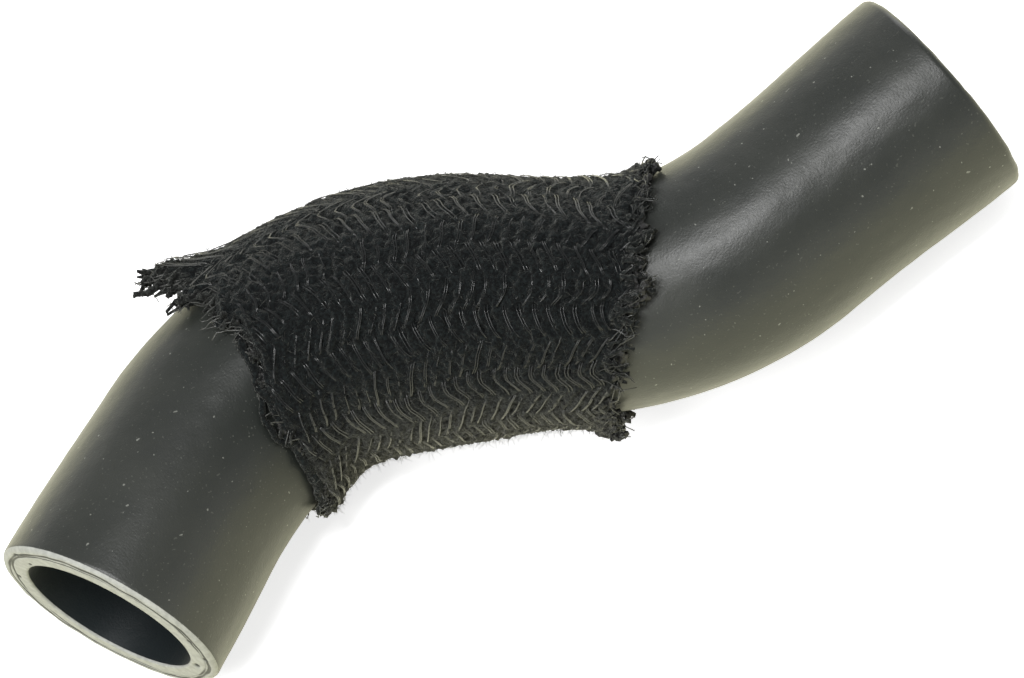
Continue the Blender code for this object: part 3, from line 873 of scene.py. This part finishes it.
# Braided sleeve, ragged ends: the cut yarns stick out as short stubs. At the right end they are melted and knotted
# into small black beads, and at the left end they hang in loose bundles, with some bare monofilaments.
STUB_RADIUS, BEAD_RADIUS, LOOSE_RADIUS = 0.00040, 0.00062, 0.00011
BEAD_RINGS, BEAD_SIDES, POLE_GAP = 8, 10, 0.12
STRAND_POINTS, START_INSIDE = 9, 0.0022

# What sticks out: (end, angle round the hose and its spread, in degrees, how many, reach past the end, lift there)
STUB_GROUPS = (
    (-1, 57, 9, 34, 0.0018, 0.0006),
    (-1, 32, 6, 14, 0.0020, 0.0008),
    (-1, -102, 6, 16, 0.0020, 0.0002),
    (-1, 47, 4, 16, 0.0034, 0.0002),
    (-1, -25, 45, 60, 0.0014, 0.0004),
    (-1, 180, 50, 30, 0.0014, 0.0004),
    (1, 50, 5, 5, 0.0006, 0.0002),
    (1, -112, 7, 12, 0.0006, 0.0004),
    (1, -30, 50, 40, 0.0013, 0.0003),
    (1, 180, 50, 30, 0.0010, 0.0003),
)
BEAD_GROUPS = (
    (1, 51, 6, 16, 0.0010, 0.0006),
    (1, -112, 7, 18, 0.0008, 0.0010),
    (1, -28, 4, 6, 0.0012, 0.0008),
    (1, -30, 45, 26, 0.0005, 0.0004),
    (1, 180, 50, 30, 0.0004, 0.0006),
    (-1, 0, 80, 22, 0.0003, 0.0005),
    (-1, -45, 35, 18, 0.0016, 0.0003),
)
LOOSE_GROUPS = (
    (-1, 57, 10, 26, 0.0026, 0.0008),
    (-1, 32, 7, 14, 0.0026, 0.0010),
    (-1, -102, 7, 16, 0.0028, 0.0004),
    (-1, -4, 3, 3, 0.0070, 0.0003),
    (-1, -20, 45, 46, 0.0030, 0.0002),
    (-1, 180, 50, 20, 0.0026, 0.0002),
    (1, 45, 10, 10, 0.0010, 0.0010),
    (1, -112, 8, 12, 0.0010, 0.0004),
    (1, -30, 50, 60, 0.0016, 0.0009),
    (1, 180, 50, 20, 0.0008, 0.0004),
)


def spread_groups(groups, rng):
    """End, angle, reach and lift of every strand or bead in these groups. Angles are spread round their centre."""
    counts = [group[3] for group in groups]
    side, centre, spread, _, reach, lift = (np.repeat(values, counts) for values in zip(*groups))
    angle = np.radians(centre + spread * np.clip(rng.normal(0, 0.8, len(side)), -1.6, 1.6))
    return side[:, None], angle[:, None], reach[:, None], lift[:, None]


def past_end(side, angle, past, height):
    """Points beyond the left end (side -1) or the right end (side 1), at a height over the sleeve's inner face."""
    side, angle, past, height = np.broadcast_arrays(side, angle, past, height)
    left, right = sleeve_ends(angle)
    station = np.where(side < 0, left - past, right + past)
    return around(station, angle, hose_radius(station) + SLEEVE_CLEARANCE + sleeve_lift(station, angle) + height)


def paint_melted():
    """Black yarn and plastic melted together: lumpy and half glossy."""
    material, shade = new_material("melted_yarn")
    lumps = shade.noise(0.0005, 3.0)
    colour = shade.mix(lumps.between(0.35, 0.7), (0.003, 0.003, 0.003, 1), (0.016, 0.016, 0.015, 1))
    surface(shade, {"Base Color": colour, "Roughness": 0.30 + lumps * 0.3, "Specular IOR Level": 0.5,
                    "Normal": shade.bump(lumps, 0.0004)})
    return material


def make_beads(material):
    """Lumpy beads along the ends: each a ball of rings between two poles, pushed in and out by smooth noise."""
    rng = np.random.default_rng(23)
    side, angle, reach, lift = (grid[:, 0] for grid in spread_groups(BEAD_GROUPS, rng))
    beads = len(side)
    size = BEAD_RADIUS * rng.uniform(0.45, 1.4, beads)
    past = rng.normal(0, 0.6, beads) * reach + 0.0001
    centre = past_end(side, angle, past, 0.0006 + lift * rng.uniform(0, 1.5, beads))[:, None, None]
    turn = 2 * np.pi * np.arange(BEAD_SIDES) / BEAD_SIDES
    climb = np.linspace(POLE_GAP, np.pi - POLE_GAP, BEAD_RINGS)[:, None]
    ball = np.stack([np.sin(climb) * np.cos(turn), np.sin(climb) * np.sin(turn), np.cos(climb) + 0 * turn], -1)
    squash = rng.uniform(0.7, 1.35, (beads, 1, 1, 3))
    points = centre + ball * size[:, None, None, None] * squash
    lump = 1 + 0.34 * rumple(points, 0.0012, rng, 40)
    points = above_floor(centre + (points - centre) * lump[..., None])
    piece = add_piece("sleeve_melted_beads", points, tube_faces(*points.shape[:3]), material)
    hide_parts("braided_sleeve")


def make_end_strands(name, groups, seed, radius, sides, curl, slant, paleness, material):
    """Strands out of the ends. Each starts inside the braid, leans aside evenly as it comes out, lifts by the square
    of the way along, and wavers by smooth noise that grows by that square too."""
    rng = np.random.default_rng(seed)
    side, angle, reach, lift = spread_groups(groups, rng)
    count = len(side)
    share = np.linspace(0, 1, STRAND_POINTS)[None, :]
    past = -START_INSIDE + (reach * rng.uniform(0.3, 1.25, (count, 1)) + START_INSIDE) * share
    lean = rng.choice([-1, 1], (count, 1)) * rng.uniform(0.3, 1.0, (count, 1)) * slant
    height = rng.uniform(0.0006, 0.0019, (count, 1)) + lift * rng.normal(0.6, 0.8, (count, 1)) * share**2
    height = np.maximum(height, radius + 0.0001)
    paths = past_end(side, angle + lean * share, past, height)
    outwards = past_end(side, angle + lean * share, past, height + OUT_STEP) - paths + 1e-9
    waver = np.stack([rumple(paths, 0.0024, rng) for _ in range(3)], -1)
    paths = paths + curl * share[..., None] ** 2 * waver
    radii = radius * rng.uniform(0.7, 1.2, (count, 1)) * (1 - 0.3 * share**3)
    points, faces = strands(paths, radii, outwards, sides)
    points = points + 0.25 * radius * rumple(points, 0.0007, rng, 40)[..., None]
    points = above_floor(points)
    station = np.where(side < 0, LEFT_EDGE, RIGHT_EDGE)
    # The larger of the painted sheen on the flanks and the strands' own paleness, a third of it at the right end.
    dust_and_painted_sheen = np.maximum(painted_sheen_on(angle, station), np.where(side < 0, paleness, paleness / 3))
    piece = add_piece(name, points, faces, material, {"dust_and_painted_sheen": dust_and_painted_sheen[:, 0].repeat(points[0, ..., 0].size)})
    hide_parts("braided_sleeve")


# Yarns unravelled along the left edge, lying on the hose: (from and to which angle, in degrees, reach past the end,
# radius)
EDGE_YARN_POINTS, EDGE_YARN_SIDES, EDGE_YARN_INSIDE = 90, 14, 0.0016
EDGE_YARNS = (
    (14, -52, 0.0017, 0.00080),
    (-20, -70, 0.0034, 0.00055),
    (-44, -106, 0.0015, 0.00085),
    (40, -22, 0.0003, 0.00066),
    (-62, -112, 0.0020, 0.00060),
    (-4, -92, 0.0002, 0.00075),
    (150, 225, 0.0009, 0.00070),
    (120, 170, 0.0015, 0.00060),
)


def make_edge_yarns(material):
    """Each yarn follows the left end from one angle to another, lying on the hose. It leaves the braid and returns by
    the root of a sine, wanders by two sines along its way, and thins towards both ends."""
    rng = np.random.default_rng(37)
    begin, finish, reach, radius = (np.array(values)[:, None] for values in zip(*EDGE_YARNS))
    share = np.linspace(0, 1, EDGE_YARN_POINTS)[None, :]
    out = np.sin(np.pi * share) ** 0.5
    phase = rng.uniform(0, 2 * np.pi, (2, len(begin), 1))
    wander = 0.0005 * np.sin(8 * share + phase[0]) + 0.0003 * np.sin(21 * share + phase[1])
    angle = np.radians(begin + (finish - begin) * share)
    past = -EDGE_YARN_INSIDE + (reach + EDGE_YARN_INSIDE) * out + wander
    height = radius * (0.9 + 0.35 * np.sin(14 * share + phase[1]) ** 2)
    paths = past_end(-1, angle, past, height)
    outwards = past_end(-1, angle, past, height + OUT_STEP) - paths + 1e-9
    radii = radius * (0.45 + 0.55 * out) * (1 + 0.12 * np.sin(31 * share + phase[0]))
    points, faces = strands(paths, radii, outwards, EDGE_YARN_SIDES)
    points = points + 0.00010 * rumple(points, 0.0009, rng, 40)[..., None]
    points = above_floor(points)
    piece = add_piece("sleeve_edge_yarns", points, faces, material, {"dust_and_painted_sheen": np.zeros(points.shape[:3])})
    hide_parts("braided_sleeve")


make_beads(paint_melted())
make_edge_yarns(yarn_finish)
make_end_strands("sleeve_yarn_stubs", STUB_GROUPS, seed=29, radius=STUB_RADIUS, sides=9, curl=0.0004, slant=0.10,
                 paleness=0.25, material=yarn_finish)
make_end_strands("sleeve_loose_filaments", LOOSE_GROUPS, seed=31, radius=LOOSE_RADIUS, sides=5, curl=0.0006,
                 slant=0.26, paleness=0.8, material=filament_finish)
